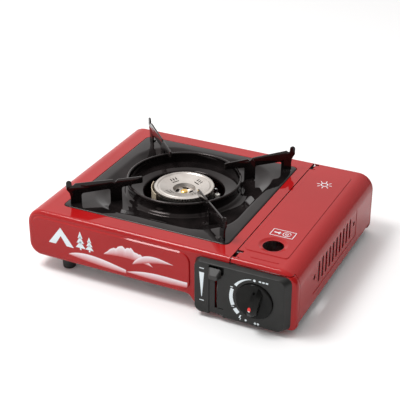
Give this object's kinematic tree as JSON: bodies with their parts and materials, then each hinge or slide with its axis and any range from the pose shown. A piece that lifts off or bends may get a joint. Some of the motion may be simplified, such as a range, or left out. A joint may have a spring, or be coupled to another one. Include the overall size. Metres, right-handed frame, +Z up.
{
  "type": "camp stove",
  "caption": "Flat portable gas stove with a burner in a drip tray, pan arms, a side bay for a gas cartridge under a hinged lid, and a control knob.",
  "frame": {"origin": "on the ground under the middle of the stove's overall box", "axes": "+X towards the cartridge bay, -Y towards the user and the control panel, +Z up"},
  "size_m": [0.341, 0.281, 0.1096],
  "materials": {
    "red_enamel": "gloss",
    "black_enamel": "gloss",
    "cap_enamel": "satin",
    "cast_grey": "matt",
    "zinc_steel": "satin",
    "aluminium_cast": "satin",
    "brass": "satin",
    "black_plastic": "satin",
    "red_plastic": "gloss",
    "rubber": "matt",
    "ceramic": "gloss",
    "guard_beige": "satin",
    "wire_red": "satin"
  },
  "bodies": {
    "case": {"main_case": "red_enamel", "bottom_plate": "zinc_steel", "divider_wall": "zinc_steel", "foot_front_left": "rubber", "foot_rear_left": "rubber", "foot_front_right": "rubber", "foot_rear_right": "rubber", "control_panel": "black_plastic", "panel_screws": "zinc_steel", "base_screws": "zinc_steel", "burner_body": "cast_grey", "burner_cap": "cap_enamel", "cap_screw": "brass", "mixing_tube": "aluminium_cast", "burner_bracket": "zinc_steel", "burner_shield": "guard_beige", "nozzle_bracket": "zinc_steel", "gas_nozzle": "brass", "gas_pipe": "brass", "pipe_nut": "brass", "regulator_body": "aluminium_cast", "cartridge_seal": "rubber", "diaphragm": "rubber", "regulator_cover": "aluminium_cast", "regulator_bracket": "zinc_steel", "cartridge_cradle": "zinc_steel", "pusher_guides": "zinc_steel", "piezo_igniter": "black_plastic", "plunger_spring": "zinc_steel", "ignition_wire": "wire_red", "electrode_insulator": "ceramic", "electrode_pin": "zinc_steel", "electrode_bracket": "zinc_steel", "hinge_brackets": "zinc_steel", "hinge_pins": "zinc_steel"},
    "lid": {"cartridge_lid": "red_enamel", "lid_hinge_leaves": "red_enamel"},
    "pan_support": {"drip_tray": "black_enamel", "wind_ring": "black_enamel", "pan_arm_rear_right": "black_enamel", "pan_arm_rear_left": "black_enamel", "pan_arm_front_left": "black_enamel", "pan_arm_front_right": "black_enamel", "arm_rivets": "black_enamel"},
    "slider": {"slide_stem": "zinc_steel", "slide_button": "black_plastic"},
    "pusher": {"cartridge_pusher": "zinc_steel"},
    "knob": {"control_knob": "black_plastic", "knob_pointer": "red_plastic", "valve_spindle": "brass", "igniter_cam": "black_plastic"},
    "plunger": {"igniter_plunger": "ceramic"}
  },
  "joints": [
    {"name": "lid_hinge", "type": "hinge", "parent": "case", "child": "lid", "pos_m": [0.0963, 0.0105, 0.0752], "axis": [0, -1, 0], "range_deg": [0, 95]},
    {"name": "pan_support_lift", "type": "slide", "parent": "case", "child": "pan_support", "axis": [0, 0, 1], "range_m": [0, 0.06]},
    {"name": "knob_turn", "type": "hinge", "parent": "case", "child": "knob", "pos_m": [0.1245, -0.1195, 0.038], "axis": [0, 1, 0], "range_deg": [0, 170]},
    {"name": "lock_slide", "type": "slide", "parent": "case", "child": "slider", "axis": [0, 0, -1], "range_m": [0, 0.038]},
    {"name": "pusher_slide", "type": "slide", "parent": "case", "child": "pusher", "axis": [0, -1, 0], "range_m": [0, 0.007]},
    {"name": "igniter_press", "type": "slide", "parent": "case", "child": "plunger", "axis": [-1, 0, 0], "range_m": [0, 0.004], "stiffness_N_per_m": 300, "deforming": ["plunger_spring"]}
  ],
  "couplings": [
    {"joint": "pusher_slide", "follows": "lock_slide", "ratio": 0.18421}
  ]
}
